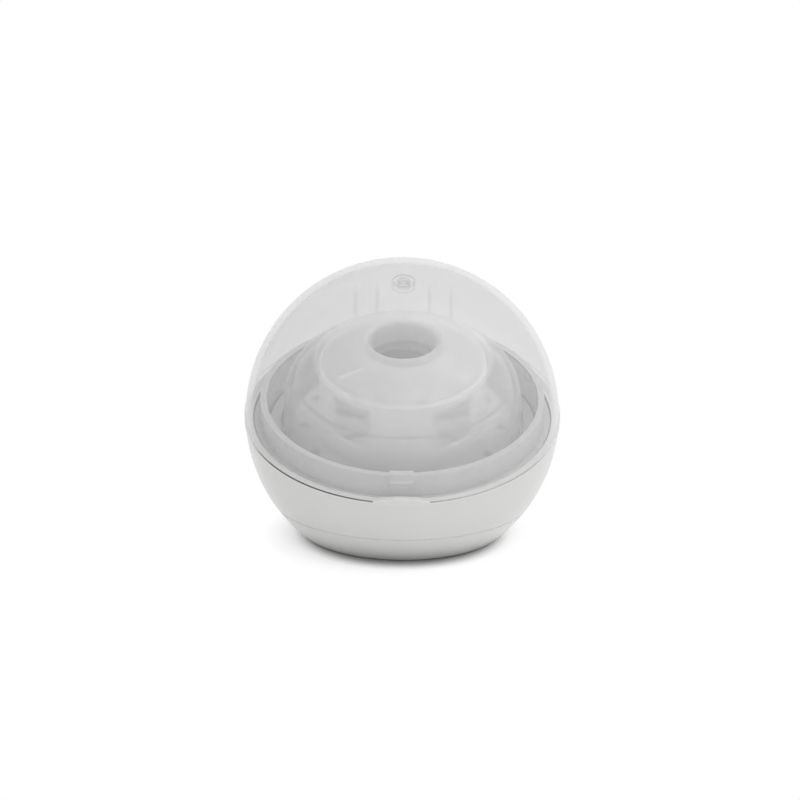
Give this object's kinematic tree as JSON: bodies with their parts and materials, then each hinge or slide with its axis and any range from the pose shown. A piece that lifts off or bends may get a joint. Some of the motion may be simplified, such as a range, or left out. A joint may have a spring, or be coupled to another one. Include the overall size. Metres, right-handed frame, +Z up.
{
  "type": "soother steriliser case",
  "caption": "Ball-shaped microwave steriliser and carry case for soothers: white footed base with water bowl, steam plate, cup and dome, and a hinged clear lid with a vent.",
  "frame": {"origin": "centre of the flat foot, on the surface that the case stands on", "axes": "+Z up from the foot, -Y towards the front catch, +Y towards the hinge, +X to the right seen from the front"},
  "size_m": [0.1006, 0.1044, 0.0886],
  "materials": {
    "white_plastic": "gloss white polypropylene",
    "bowl_plastic": "gloss off-white polypropylene",
    "milky_plastic": "milky polypropylene",
    "frosted_plastic": "frosted see-through polypropylene",
    "clear_plastic": "clear, slightly smoky polypropylene"
  },
  "bodies": {
    "base": {"base_shell": "white_plastic", "foot_cap": "white_plastic", "water_bowl": "bowl_plastic", "hinge_pin": "white_plastic"},
    "lid": {"lid_dome": "clear_plastic"},
    "plate": {"steam_plate": "milky_plastic", "soother_cup": "milky_plastic"},
    "dome": {"steam_dome": "frosted_plastic"}
  },
  "joints": [
    {"name": "lid_hinge", "type": "hinge", "parent": "base", "child": "lid", "pos_m": [0, 0.05156, 0.0509], "axis": [-1, 0, 0], "range_deg": [0, 105]},
    {"name": "plate_lift", "type": "slide", "parent": "base", "child": "plate", "axis": [0, -0.2504, 0.9681], "range_m": [0, 0.005]},
    {"name": "dome_lift", "type": "slide", "parent": "plate", "child": "dome", "axis": [0, -0.2504, 0.9681], "range_m": [0, 0.007]}
  ]
}
